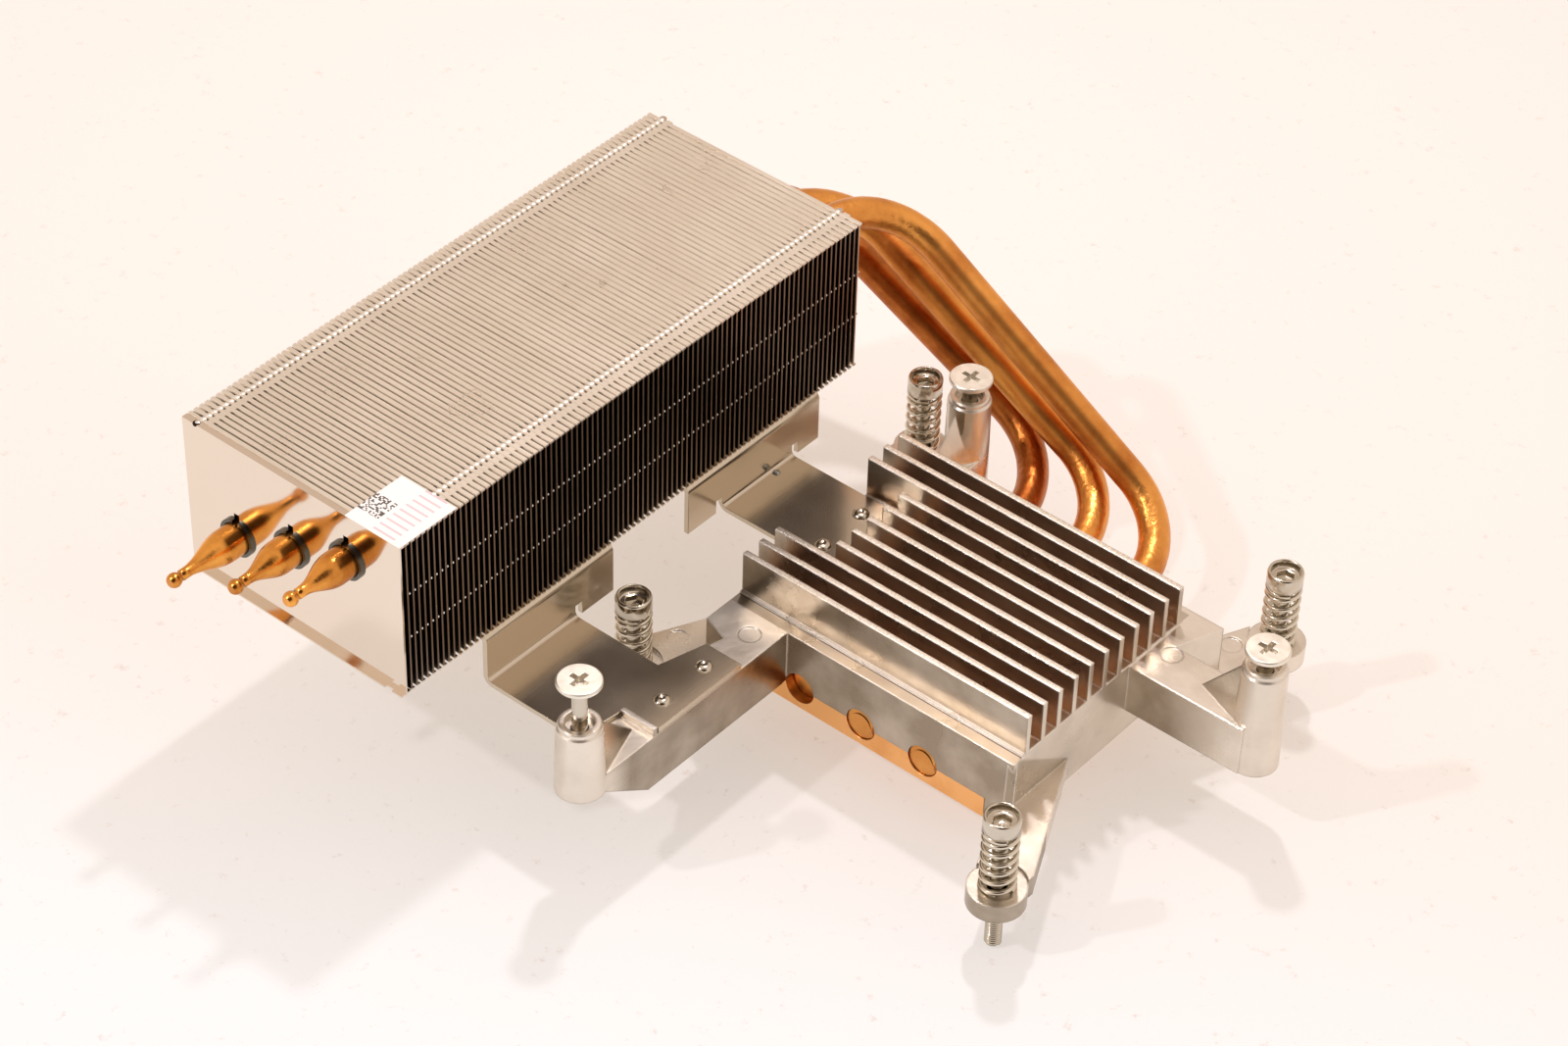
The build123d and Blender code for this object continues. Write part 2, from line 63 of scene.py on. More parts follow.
def addNode(tree, kind, inputs=None, **settings):
    node = tree.nodes.new(kind)
    for name, value in settings.items():
        setattr(node, name, value)
    setInputs(tree, node, inputs or {})
    return node


def doMath(tree, operation, *terms):
    return addNode(tree, "ShaderNodeMath", dict(enumerate(terms)), operation=operation).outputs[0]


def productOf(tree, first, *others):
    for term in others:
        first = doMath(tree, "MULTIPLY", first, term)
    return first


def vectorMath(tree, operation, *terms):
    return addNode(tree, "ShaderNodeVectorMath", dict(enumerate(terms)), operation=operation)


def remap(tree, value, *ends, **settings):
    inputs = dict(zip(("From Min", "From Max", "To Min", "To Max"), ends), Value=value)
    return addNode(tree, "ShaderNodeMapRange", inputs, **settings).outputs[0]


def mixTones(tree, share, low, high):
    low, high = [linearColour(tone) if isinstance(tone, str) else tone for tone in (low, high)]
    return addNode(tree, "ShaderNodeMix", {"Factor": share, "A": low, "B": high}, data_type="RGBA").outputs[2]


def addNoise(tree, spot, size, detail, roughness=0.5):
    return addNode(tree, "ShaderNodeTexNoise", {"Vector": spot, "Scale": 1 / (size * mm), "Detail": detail,
                                                "Roughness": roughness}).outputs[0]


def addBump(tree, height, strength, distance, under=None):
    inputs = {"Height": height, "Strength": strength, "Distance": distance * mm}
    if under is not None:
        inputs["Normal"] = under
    return addNode(tree, "ShaderNodeBump", inputs).outputs[0]


def splitAxes(tree, vector):
    return addNode(tree, "ShaderNodeSeparateXYZ", {"Vector": vector}).outputs


def startMaterial(name, metallic=1.0):
    material = bpy.data.materials.new(name)
    material.use_nodes = True
    tree = material.node_tree
    shader = tree.nodes["Principled BSDF"]
    shader.inputs["Metallic"].default_value = metallic
    spot = addNode(tree, "ShaderNodeTexCoord").outputs["Object"]
    return material, tree, shader, spot


# Materials

def makeCastMetal():
    # die-cast aluminium as it leaves the die: pale cloudy sheen, small pits and a duller plinth strip, with
    # painted light:
    # painted shade greying the side walls, painted highlight on worn upward edges, painted brown shade deep
    # between the fins, painted highlight on the grainy fin tops and a painted shade line along the plinth
    # step
    values = {
        "bright": "#f3ebdf", "cloudy": "#d9d0c3", "stain": "#a49683", "paintedGapShade": "#a87b54", "top": "#fff6e8",
        "paintedStepShade": "#5d4d3f", "paintedWallShade": "#9b8e7d", "paintedWallShadePale": "#c2b7a8", "wornEdgeHighlight": "#fffaf2",
        "cloudSize": 9.0, "blotSize": 6.5, "grainSize": 0.42, "pitSize": 0.5, "waveSize": 5.0,
        "blotRange": (0.45, 0.7), "blotShare": 0.2, "grainRange": (0.42, 0.6), "patchRange": (0.4, 0.75),
        "halfSpan": 30.9, "finTop": 24.3, "finFoot": 17.5, "gapFloor": 16.2, "finEnds": 21.35,
        "crownDepth": 0.3, "crownEnds": 22.0, "stripRow": (23.15, 1.7), "stripLevel": (15.9, 0.6),
        "stripShare": 0.6, "stepShadeRow": (22.62, 0.16), "stepShadeLevel": (15.7, 0.3), "frontLimit": -0.9,
        "uprightLimit": 0.35, "armFrom": -25.2, "post": (-22.1, -73.4), "postReach": (5.0, 9.0),
        "padReach": (40.0, 50.0), "wallInGap": 0.5, "roundRadius": 0.45, "rimTurn": (0.985, 0.86),
        "rimShare": 0.8, "rimRise": (0.15, 0.4), "roughness": (0.2, 0.38),
    }

    def near(value, band):
        return doMath(tree, "COMPARE", value, values[band][0] * mm, values[band][1] * mm)

    material, tree, shader, spot = startMaterial("castAluminium")
    x, y, z = splitAxes(tree, spot)
    row = doMath(tree, "ABSOLUTE", y)
    cloud = addNoise(tree, spot, values["cloudSize"], 5.0)
    blots = addNoise(tree, spot, values["blotSize"], 4.0)
    grains = addNoise(tree, spot, values["grainSize"], 2.0)
    span = doMath(tree, "COMPARE", x, 0.0, values["halfSpan"] * mm)
    above = doMath(tree, "GREATER_THAN", z, values["gapFloor"] * mm)
    within = doMath(tree, "LESS_THAN", row, values["finEnds"] * mm)
    gap = productOf(tree, above, within, span)
    # painted shade: the tone turns brown the deeper it lies between the fins
    depth = remap(tree, z, values["finTop"] * mm, values["finFoot"] * mm)
    blot = productOf(tree, remap(tree, blots, *values["blotRange"], 0.0, values["blotShare"]),
                     doMath(tree, "SUBTRACT", 1.0, gap))
    # painted highlight: lighter, grainy tops on the fins
    crown = doMath(tree, "GREATER_THAN", z, (values["finTop"] - values["crownDepth"]) * mm)
    inward = doMath(tree, "LESS_THAN", row, values["crownEnds"] * mm)
    paintedTopHighlight = productOf(tree, crown, inward, span, remap(tree, grains, *values["grainRange"]))
    strip = productOf(tree, near(z, "stripLevel"), span, near(row, "stripRow"), values["stripShare"])
    # painted shade: a dark line on the plinth top where its step would be shaded
    paintedStepShade = productOf(tree, near(row, "stepShadeRow"), near(z, "stepShadeLevel"), span)
    tone = mixTones(tree, cloud, values["bright"], values["cloudy"])
    for share, over in ((blot, "stain"), (productOf(tree, gap, depth), "paintedGapShade"), (paintedTopHighlight, "top"),
                        (strip, "stain"), (paintedStepShade, "paintedStepShade")):
        tone = mixTones(tree, share, tone, values[over])

    # painted shade: greyer front faces and sides of the front arm, but not round the post or on the right pad
    geometry = addNode(tree, "ShaderNodeNewGeometry")
    facing = splitAxes(tree, geometry.outputs["Normal"])
    front = doMath(tree, "LESS_THAN", facing["Y"], values["frontLimit"])
    upright = doMath(tree, "COMPARE", facing["Z"], 0.0, values["uprightLimit"])
    arm = doMath(tree, "LESS_THAN", y, values["armFrom"] * mm)
    flat = vectorMath(tree, "MULTIPLY", spot, (1.0, 1.0, 0.0)).outputs[0]
    away = vectorMath(tree, "DISTANCE", flat, tuple(c * mm for c in values["post"]) + (0.0,)).outputs["Value"]
    clear = remap(tree, away, *(c * mm for c in values["postReach"]))
    inner = remap(tree, x, *(c * mm for c in values["padReach"]), 1.0, 0.0)
    scratchBumpOrWallShade = doMath(tree, "MAXIMUM", productOf(tree, front, clear, inner), productOf(tree, upright, arm, clear))
    scratchBumpOrWallShade = productOf(tree, scratchBumpOrWallShade, doMath(tree, "MULTIPLY_ADD", gap, -values["wallInGap"], 1.0))
    paintedWallShade = mixTones(tree, remap(tree, cloud, *values["patchRange"]), values["paintedWallShade"], values["paintedWallShadePale"])
    tone = mixTones(tree, scratchBumpOrWallShade, tone, paintedWallShade)

    # painted highlight on worn edges: bright rims where the rounded normal leaves the true one, on edges that
    # face upwards
    soft = addNode(tree, "ShaderNodeBevel", {"Radius": values["roundRadius"] * mm}, samples=4).outputs[0]
    turn = vectorMath(tree, "DOT_PRODUCT", soft, geometry.outputs["Normal"]).outputs["Value"]
    rim = productOf(tree, remap(tree, turn, *values["rimTurn"], 0.0, values["rimShare"]),
                    remap(tree, splitAxes(tree, soft)["Z"], *values["rimRise"]))
    fine = addBump(tree, addNoise(tree, spot, values["pitSize"], 3.0), 0.25, 0.05, soft)
    broad = addBump(tree, addNoise(tree, spot, values["waveSize"], 2.0), 0.3, 0.25, fine)
    rough = remap(tree, cloud, 0.0, 1.0, *values["roughness"])
    setInputs(tree, shader, {"Base Color": mixTones(tree, rim, tone, values["wornEdgeHighlight"]), "Roughness": rough,
                             "Normal": broad})
    return material


def makeCopper(name, bright, tarnish, cover, roughness, bendRoughness):
    # drawn copper: orange metal under brown heat tarnish in long clouds, satin on straight runs, dented where
    # a pipe is bent
    values = {"cloudSize": 13.0, "wrinkleSize": 1.0, "scratchSize": 0.25, "tarnishRange": (0.56, 0.98),
              "uneven": (0.85, 1.15)}
    material, tree, shader, spot = startMaterial(name)
    cloud = addNoise(tree, spot, values["cloudSize"], 7.0, 0.65)
    stain = remap(tree, cloud, *(end - cover for end in values["tarnishRange"]))
    bend = addNode(tree, "ShaderNodeAttribute", attribute_name="bend").outputs["Fac"]
    polish = remap(tree, bend, 0.0, 1.0, roughness, bendRoughness)
    uneven = remap(tree, cloud, 0.0, 1.0, *values["uneven"])
    wrinkles = productOf(tree, addNoise(tree, spot, values["wrinkleSize"], 2.0), bend)
    dents = addBump(tree, wrinkles, 0.45, 0.3)
    scratchBumpOrWallShade = addBump(tree, addNoise(tree, spot, values["scratchSize"], 2.0), 0.45, 0.03, dents)
    setInputs(tree, shader, {"Base Color": mixTones(tree, stain, bright, tarnish),
                             "Roughness": productOf(tree, polish, uneven), "Normal": scratchBumpOrWallShade})
    return material


def makeSheet(name, hexCode, roughness, scratch, ripple=0.0):
    # rolled aluminium sheet: even and bright, with faint drawing lines along Y
    values = {"lineSize": 0.4, "lineStretch": 0.04, "cloudSize": 12.0, "uneven": (0.7, 1.3)}
    material, tree, shader, spot = startMaterial(name)
    stretch = addNode(tree, "ShaderNodeMapping", {"Vector": spot, "Scale": (1.0, values["lineStretch"], 1.0)})
    cloud = addNoise(tree, spot, values["cloudSize"], 3.0)
    fine = addBump(tree, addNoise(tree, stretch.outputs[0], values["lineSize"], 2.0), scratch, 0.02)
    rough = remap(tree, cloud, 0.0, 1.0, *(roughness * share for share in values["uneven"]))
    setInputs(tree, shader, {"Base Color": linearColour(hexCode), "Roughness": rough,
                             "Normal": addBump(tree, cloud, ripple, 0.3, fine)})
    return material


def makeWebSheet():
    # webs of the stack: painted shade makes them almost black between the fins, with a painted grey line of
    # light on the cut side edges, and pale on the last fin, which can be seen from behind
    values = {"inner": "#2a1f17", "edge": "#8a7868", "rear": "#cbb9a6", "middleX": -72.4, "reachX": 24.74,
              "rearY": 27.6}
    material, tree, shader, spot = startMaterial("shadedFinSheet")
    x, y, z = splitAxes(tree, spot)
    within = doMath(tree, "COMPARE", x, values["middleX"] * mm, values["reachX"] * mm)
    rear = doMath(tree, "GREATER_THAN", y, values["rearY"] * mm)
    lined = mixTones(tree, doMath(tree, "SUBTRACT", 1.0, within), values["inner"], values["edge"])
    setInputs(tree, shader, {"Base Color": mixTones(tree, rear, lined, values["rear"]), "Roughness": 0.35})
    return material


def makePlatedSteel(name, hexCode, roughness, relief):
    # nickel or zinc plated steel: bright warm grey with a slight unevenness
    values = {"cloudSize": 1.6, "uneven": (0.7, 1.5)}
    material, tree, shader, spot = startMaterial(name)
    cloud = addNoise(tree, spot, values["cloudSize"], 3.0)
    rough = remap(tree, cloud, 0.0, 1.0, *(roughness * share for share in values["uneven"]))
    setInputs(tree, shader, {"Base Color": linearColour(hexCode), "Roughness": rough,
                             "Normal": addBump(tree, cloud, relief, 0.05)})
    return material


def makeLabelPaper():
    # white paper with a block of random dark cells and plain thin bars, no writing
    values = {"paper": "#fbf7f4", "ink": "#57504c", "pale": "#e3c9cf", "cell": 0.33, "inked": 0.48,
              "block": ((-57.4, 2.35), (-82.6, 2.35)), "barStep": 1.5, "barWidth": 0.45,
              "barEnds": (-54.2, -49.4)}
    material, tree, shader, spot = startMaterial("printedPaper", 0.0)
    x, y, z = splitAxes(tree, spot)
    cells = vectorMath(tree, "SNAP", spot, (values["cell"] * mm,) * 3).outputs[0]
    flat = vectorMath(tree, "MULTIPLY", cells, (1.0, 1.0, 0.0)).outputs[0]
    random = addNode(tree, "ShaderNodeTexWhiteNoise", {"Vector": flat}).outputs[0]
    inside = doMath(tree, "LESS_THAN", random, values["inked"])
    for axis, (middle, half) in zip((x, y), values["block"]):
        inside = productOf(tree, inside, doMath(tree, "COMPARE", axis, middle * mm, half * mm))
    step = doMath(tree, "FLOORED_MODULO", y, values["barStep"] * mm)
    start, end = values["barEnds"]
    bars = productOf(tree, doMath(tree, "LESS_THAN", step, values["barWidth"] * mm),
                     doMath(tree, "GREATER_THAN", x, start * mm), doMath(tree, "LESS_THAN", x, end * mm))
    lined = mixTones(tree, bars, values["paper"], values["pale"])
    setInputs(tree, shader, {"Base Color": mixTones(tree, inside, lined, values["ink"]), "Roughness": 0.55})
    return material


materials = {
    "cast": makeCastMetal(),
    "copper": makeCopper("drawnCopper", "#f2aa57", "#a8531b", 0.16, 0.4, 0.32),
    "brown": makeCopper("heatTintedCopper", "#dc8a45", "#8a4115", 0.28, 0.38, 0.32),
    "tip": makeCopper("spunCopper", "#f6ad52", "#9a5019", 0.2, 0.24, 0.24),
    "sawn": makeCopper("sawnCopper", "#eaa85c", "#b9722f", 0.2, 0.34, 0.34),
    "plate": makeCopper("contactCopper", "#f7ba78", "#dd954f", 0.1, 0.36, 0.36),
    "flange": makeSheet("rolledFinSheet", "#efe7db", 0.3, 0.06),
    "bead": makeSheet("formedFinTabs", "#fbf6ee", 0.34, 0.0),
    "collar": makeSheet("tinnedCollar", "#64625a", 0.3, 0.4, 0.4),
    "web": makeWebSheet(),
    "mirror": makeSheet("mirrorSheet", "#e9ddce", 0.09, 0.0, 0.06),
    "bracket": makeSheet("foldedSheet", "#d2c6b3", 0.2, 0.2),
    "plated": makePlatedSteel("nickelPlatedSteel", "#cfc7b8", 0.14, 0.12),
    "spring": makePlatedSteel("springWire", "#d8d0c0", 0.12, 0.1),
    "solder": makePlatedSteel("greySolder", "#a6abaa", 0.3, 0.3),
    "bright": makePlatedSteel("brightZinc", "#efe9dd", 0.34, 0.3),
    "label": makeLabelPaper(),
}
print("materials made:", len(materials))


# Helpers for pieces

def newObject(name, vertices, edges, faces):
    mesh = bpy.data.meshes.new(name)
    mesh.from_pydata([tuple(c * mm for c in v) for v in vertices], edges, faces)
    piece = bpy.data.objects.new(name, mesh)
    bpy.context.scene.collection.objects.link(piece)
    return piece


def finishMesh(piece):
    graph = bpy.context.evaluated_depsgraph_get()
    mesh = bpy.data.meshes.new_from_object(piece.evaluated_get(graph))
    piece.modifiers.clear()
    piece.data = mesh
    return piece


def attach(piece, body, slot, *nodes):
    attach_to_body(piece, body)
    if nodes:
        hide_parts(*nodes)
    return piece


def softCopy(node, material, width, cutBelow=None):
    # copy of a CAD solid: welded, flat faces merged, edges softened, and closed again where it is cut off
    # below the height cutBelow
    values = {"weld": 0.001, "flatAngle": 0.6, "sharpAngle": 35, "bevelAngle": 38}
    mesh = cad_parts[node].data.copy()
    work = bmesh.new()
    work.from_mesh(mesh)
    bmesh.ops.remove_doubles(work, verts=work.verts, dist=values["weld"] * mm)
    bmesh.ops.dissolve_limit(work, angle_limit=math.radians(values["flatAngle"]), verts=work.verts,
                             edges=work.edges)
    if cutBelow is not None:
        cut = bmesh.ops.bisect_plane(work, geom=work.verts[:] + work.edges[:] + work.faces[:], dist=1e-7,
                                     plane_co=(0, 0, cutBelow * mm), plane_no=(0, 0, 1), clear_inner=True)
        rim = [e for e in cut["geom_cut"] if isinstance(e, bmesh.types.BMEdge)]
        bmesh.ops.contextual_create(work, geom=rim)
    work.to_mesh(mesh)
    work.free()
    if "custom_normal" in mesh.attributes:
        mesh.attributes.remove(mesh.attributes["custom_normal"])
    mesh.materials.clear()
    mesh.materials.append(material)
    piece = bpy.data.objects.new(node + "_finish", mesh)
    bpy.context.scene.collection.objects.link(piece)
    mesh.shade_smooth()
    mesh.set_sharp_from_angle(angle=math.radians(values["sharpAngle"]))
    if width:
        bevel = piece.modifiers.new("edges", "BEVEL")
        bevel.width = width * mm
        bevel.segments = 2
        bevel.limit_method = "ANGLE"
        bevel.angle_limit = math.radians(values["bevelAngle"])
        bevel.harden_normals = True
    return finishMesh(piece)


def newGroup(name, sizes):
    # geometry node tree with a geometry input, an output and one named input per size
    tree = bpy.data.node_groups.new(name, "GeometryNodeTree")
    tree.interface.new_socket("Geometry", in_out="INPUT", socket_type="NodeSocketGeometry")
    tree.interface.new_socket("Geometry", in_out="OUTPUT", socket_type="NodeSocketGeometry")
    for label, kind in sizes.items():
        tree.interface.new_socket(label, in_out="INPUT", socket_type="NodeSocket" + kind)
    return tree, addNode(tree, "NodeGroupInput").outputs, addNode(tree, "NodeGroupOutput")


def growMesh(piece, tree, sizes):
    # put the node tree on the piece, set its inputs by identifier and keep the resulting plain mesh
    grow = piece.modifiers.new("grow", "NODES")
    grow.node_group = tree
    for socket in tree.interface.items_tree:
        if socket.in_out == "INPUT" and socket.name in sizes:
            grow[socket.identifier] = sizes[socket.name]
    return finishMesh(piece)


def endTree(tree, source, outputNode, material):
    # Realize Instances and Set Material close every tree
    real = addNode(tree, "GeometryNodeRealizeInstances", {"Geometry": source})
    dressed = addNode(tree, "GeometryNodeSetMaterial", {"Geometry": real.outputs[0], "Material": material})
    tree.links.new(dressed.outputs[0], outputNode.inputs[0])


def repeatTree():
    # one shape on every point, each moved a little along Y with a fixed seed
    tree, given, result = newGroup("repeatShape", {"Shape": "Object", "Seed": "Int", "Wander": "Float",
                                                   "Material": "Material"})
    shape = addNode(tree, "GeometryNodeObjectInfo", {"Object": given["Shape"]})
    lowest = addNode(tree, "ShaderNodeCombineXYZ", {"Y": doMath(tree, "MULTIPLY", given["Wander"], -1.0)})
    highest = addNode(tree, "ShaderNodeCombineXYZ", {"Y": given["Wander"]})
    drift = addNode(tree, "FunctionNodeRandomValue", {"Min": lowest.outputs[0], "Max": highest.outputs[0],
                                                      "Seed": given["Seed"]}, data_type="FLOAT_VECTOR")
    moved = addNode(tree, "GeometryNodeSetPosition", {"Geometry": given[0], "Offset": drift.outputs[0]})
    copies = addNode(tree, "GeometryNodeInstanceOnPoints", {"Points": moved.outputs[0],
                                                            "Instance": shape.outputs["Geometry"]})
    endTree(tree, copies.outputs[0], result, given["Material"])
    return tree


def repeatShape(name, shape, points, material, wander=0.0, seed=7):
    piece = newObject(name, points, [], [])
    growMesh(piece, repeat, {"Shape": shape, "Seed": seed, "Wander": wander * mm, "Material": material})
    bpy.data.objects.remove(shape)
    return piece


def tubeTree():
    # round bar along a line of points: girth gives its radius and bend how much it is dented
    lumpSize = 2.4
    tree, given, result = newGroup("tubeAlong", {"Sides": "Int", "Dent": "Float", "Material": "Material"})
    girth, bend = [addNode(tree, "GeometryNodeInputNamedAttribute", {"Name": name}, data_type="FLOAT")
                   for name in ("girth", "bend")]
    line = addNode(tree, "GeometryNodeMeshToCurve", {"Mesh": given[0]})
    ring = addNode(tree, "GeometryNodeCurvePrimitiveCircle", {"Resolution": given["Sides"], "Radius": 1.0})
    tube = addNode(tree, "GeometryNodeCurveToMesh", {
        "Curve": line.outputs[0], "Profile Curve": ring.outputs[0], "Scale": girth.outputs[0],
        "Fill Caps": True,
    })
    facing = addNode(tree, "GeometryNodeInputNormal")
    lumps = addNode(tree, "ShaderNodeTexNoise", {"Scale": 1 / (lumpSize * mm), "Detail": 1.0})
    depth = productOf(tree, lumps.outputs[0], bend.outputs[0], given["Dent"])
    inward = addNode(tree, "ShaderNodeVectorMath", {0: facing.outputs[0], 3: depth}, operation="SCALE")
    dented = addNode(tree, "GeometryNodeSetPosition", {"Geometry": tube.outputs[0],
                                                       "Offset": inward.outputs[0]})
    smooth = addNode(tree, "GeometryNodeSetShadeSmooth", {"Geometry": dented.outputs[0]})
    endTree(tree, smooth.outputs[0], result, given["Material"])
    return tree


def tubeAlong(name, points, girths, bends, sides, dent, material):
    piece = newObject(name, points, [(k, k + 1) for k in range(len(points) - 1)], [])
    for label, amounts in (("girth", [g * mm for g in girths]), ("bend", bends)):
        piece.data.attributes.new(label, "FLOAT", "POINT").data.foreach_set("value", amounts)
    return growMesh(piece, tube, {"Sides": sides, "Dent": -dent * mm, "Material": material})


def coilTree():
    # helix round a vertical axis: the ends of a spring lie flat over the share Closed, a thread has none
    tree, given, result = newGroup("coilRound", {
        "Turns": "Float", "Steps": "Int", "Radius": "Float", "Low": "Float", "High": "Float",
        "Closed": "Float", "Wire": "Float", "Sides": "Int", "Material": "Material",
    })
    count = doMath(tree, "MULTIPLY", given["Turns"], given["Steps"])
    line = addNode(tree, "GeometryNodeCurvePrimitiveLine")
    fine = addNode(tree, "GeometryNodeResampleCurve", {"Curve": line.outputs[0], "Count": count})
    share = addNode(tree, "GeometryNodeSplineParameter").outputs["Factor"]
    angle = doMath(tree, "MULTIPLY", share, doMath(tree, "MULTIPLY", given["Turns"], 2 * math.pi))
    x, y = [doMath(tree, "MULTIPLY", doMath(tree, wave, angle), given["Radius"])
            for wave in ("COSINE", "SINE")]
    z = remap(tree, share, given["Closed"], doMath(tree, "SUBTRACT", 1.0, given["Closed"]), given["Low"],
              given["High"])
    spot = addNode(tree, "ShaderNodeCombineXYZ", {"X": x, "Y": y, "Z": z})
    helix = addNode(tree, "GeometryNodeSetPosition", {"Geometry": fine.outputs[0],
                                                      "Position": spot.outputs[0]})
    upright = addNode(tree, "GeometryNodeSetCurveNormal", {"Curve": helix.outputs[0]}, mode="Z_UP")
    ring = addNode(tree, "GeometryNodeCurvePrimitiveCircle", {"Resolution": given["Sides"],
                                                              "Radius": given["Wire"]})
    wire = addNode(tree, "GeometryNodeCurveToMesh", {
        "Curve": upright.outputs[0], "Profile Curve": ring.outputs[0], "Fill Caps": True,
    })
    smooth = addNode(tree, "GeometryNodeSetShadeSmooth", {"Geometry": wire.outputs[0]})
    moved = addNode(tree, "GeometryNodeInstanceOnPoints", {"Points": given[0], "Instance": smooth.outputs[0]})
    endTree(tree, moved.outputs[0], result, given["Material"])
    return tree


def coilRound(name, middle, turns, steps, radius, low, high, closed, wire, sides, material):
    piece = newObject(name, [(*middle, 0.0)], [], [])
    return growMesh(piece, coil, {
        "Turns": turns, "Steps": steps, "Radius": radius * mm, "Low": low * mm, "High": high * mm,
        "Closed": closed, "Wire": wire * mm, "Sides": sides, "Material": material,
    })


def turnedShape(name, profile, sides, middle=(0.0, 0.0), hexFrom=99):
    # solid turned about a vertical axis from (radius, height) points and closed at both ends; rings from
    # number hexFrom on are hexagons
    sharpAngle = 50
    vertices, faces = [], []
    for i, (r, z) in enumerate(profile):
        for k in range(sides):
            a = 2 * math.pi * k / sides
            flat = math.cos(math.pi / 6) / math.cos(a % (math.pi / 3) - math.pi / 6) if i >= hexFrom else 1.0
            vertices.append((middle[0] + r * flat * math.cos(a), middle[1] + r * flat * math.sin(a), z))
    for i in range(len(profile) - 1):
        for k in range(sides):
            a, b = i * sides + k, i * sides + (k + 1) % sides
            faces.append((a, b, b + sides, a + sides))
    faces.append(tuple(reversed(range(sides))))
    faces.append(tuple(range((len(profile) - 1) * sides, len(profile) * sides)))
    piece = newObject(name, vertices, [], faces)
    piece.data.shade_smooth()
    piece.data.set_sharp_from_angle(angle=math.radians(sharpAngle))
    return piece


repeat = repeatTree()
tube = tubeTree()
coil = coilTree()


# Casting and brackets

attach(softCopy("cast_base", materials["cast"], 0.3), "heatsink", "cast_metal", "cast_base")
attach(softCopy("contact_plate", materials["plate"], 0.15), "heatsink", "copper", "contact_plate")
for name in ("rear_bracket", "front_bracket"):
    attach(softCopy(name, materials["bracket"], 0.12), "heatsink", "bracket_sheet", name)


def makeRivets():
    # domed rivets with a small centre dimple, as set by a press
    values = {"places": [(-27.8, 6.7), (-27.5, -4.2), (-22.6, -41.6), (-22.4, -52.6)], "seat": 16.7,
              "shank": (1.05, 11.0), "dome": [(1.05, -0.02), (1.58, -0.02), (1.52, 0.22), (1.2, 0.5),
                                              (0.75, 0.66), (0.45, 0.66), (0.2, 0.52)]}
    profile = [values["shank"]] + [(r, values["seat"] + z) for r, z in values["dome"]]
    shape = turnedShape("rivetShape", profile, 20)
    points = [(x, y, 0.0) for x, y in values["places"]]
    rivets = repeatShape("bracket_rivets_finish", shape, points, materials["plated"])
    attach(rivets, "heatsink", "screw_steel", "bracket_rivets")


def makePip():
    # small spatter of solder at the bend of the rear bracket
    values = {"profile": [(0.5, 16.6), (0.78, 16.68), (0.62, 16.95), (0.25, 17.08)], "middle": (-46.3, 5.4)}
    pip = turnedShape("bracket_pip", values["profile"], 12, values["middle"])
    pip.data.materials.append(materials["solder"])
    attach(pip, "heatsink", "bracket_sheet")


makeRivets()
makePip()
print("casting, contact plate, brackets and rivets made")


# Fin stack

stack = {"left": -97.3, "right": -47.5, "front": -87.8, "bottom": 26.9, "top": 58.8, "pitch": 1.27,
         "sheet": 0.35, "count": 92, "pipes": [(-85.7, 39.2), (-72.7, 44.3), (-59.7, 49.4)]}


def makeFlange(name, up):
    # folded strip of one fin, with a reach of its own in each zone along X: fingers, interlock rows, closed
    # strips and the long middle
    values = {"gap": 0.38, "finger": 0.4, "row": 0.8, "fold": 0.3, "slope": 0.29, "reachDown": 0.5,
              "clear": 0.02,
              "zones": [(-97.3, -95.35, "finger"), (-95.35, -93.3, "row"), (-93.3, -92.1, "closed"),
                        (-92.1, -54.2, "gap"), (-54.2, -51.8, "row"), (-51.8, -50.5, "closed"),
                        (-50.5, -47.5, "gap")]}
    fold, sheet = values["fold"], stack["sheet"]
    slope = fold * values["slope"]
    reach = {"gap": stack["pitch"] - values["gap"], "finger": stack["pitch"] - values["finger"],
             "row": values["row"], "closed": stack["pitch"]}
    edge = stack["top"] if up else stack["bottom"]
    sign = 1 if up else -1
    vertices, faces = [], []
    for start, end, kind in values["zones"]:
        far = reach[kind]
        section = [(0, -values["reachDown"]), (0, -fold), (slope, -slope), (fold, 0), (far, 0),
                   (far, -sheet), (sheet + values["clear"], -sheet), (sheet, -values["reachDown"])]
        size, first = len(section), len(vertices)
        for x in (start, end):
            vertices += [(x, y, edge + sign * z) for y, z in section]
        for k in range(size):
            a, b = first + k, first + (k + 1) % size
            faces.append((a, b, b + size, a + size))
        faces.append(tuple(first + k for k in reversed(range(size))))
        faces.append(tuple(first + size + k for k in range(size)))
    if not up:
        faces = [tuple(reversed(face)) for face in faces]
    return newObject(name, vertices, [], faces)


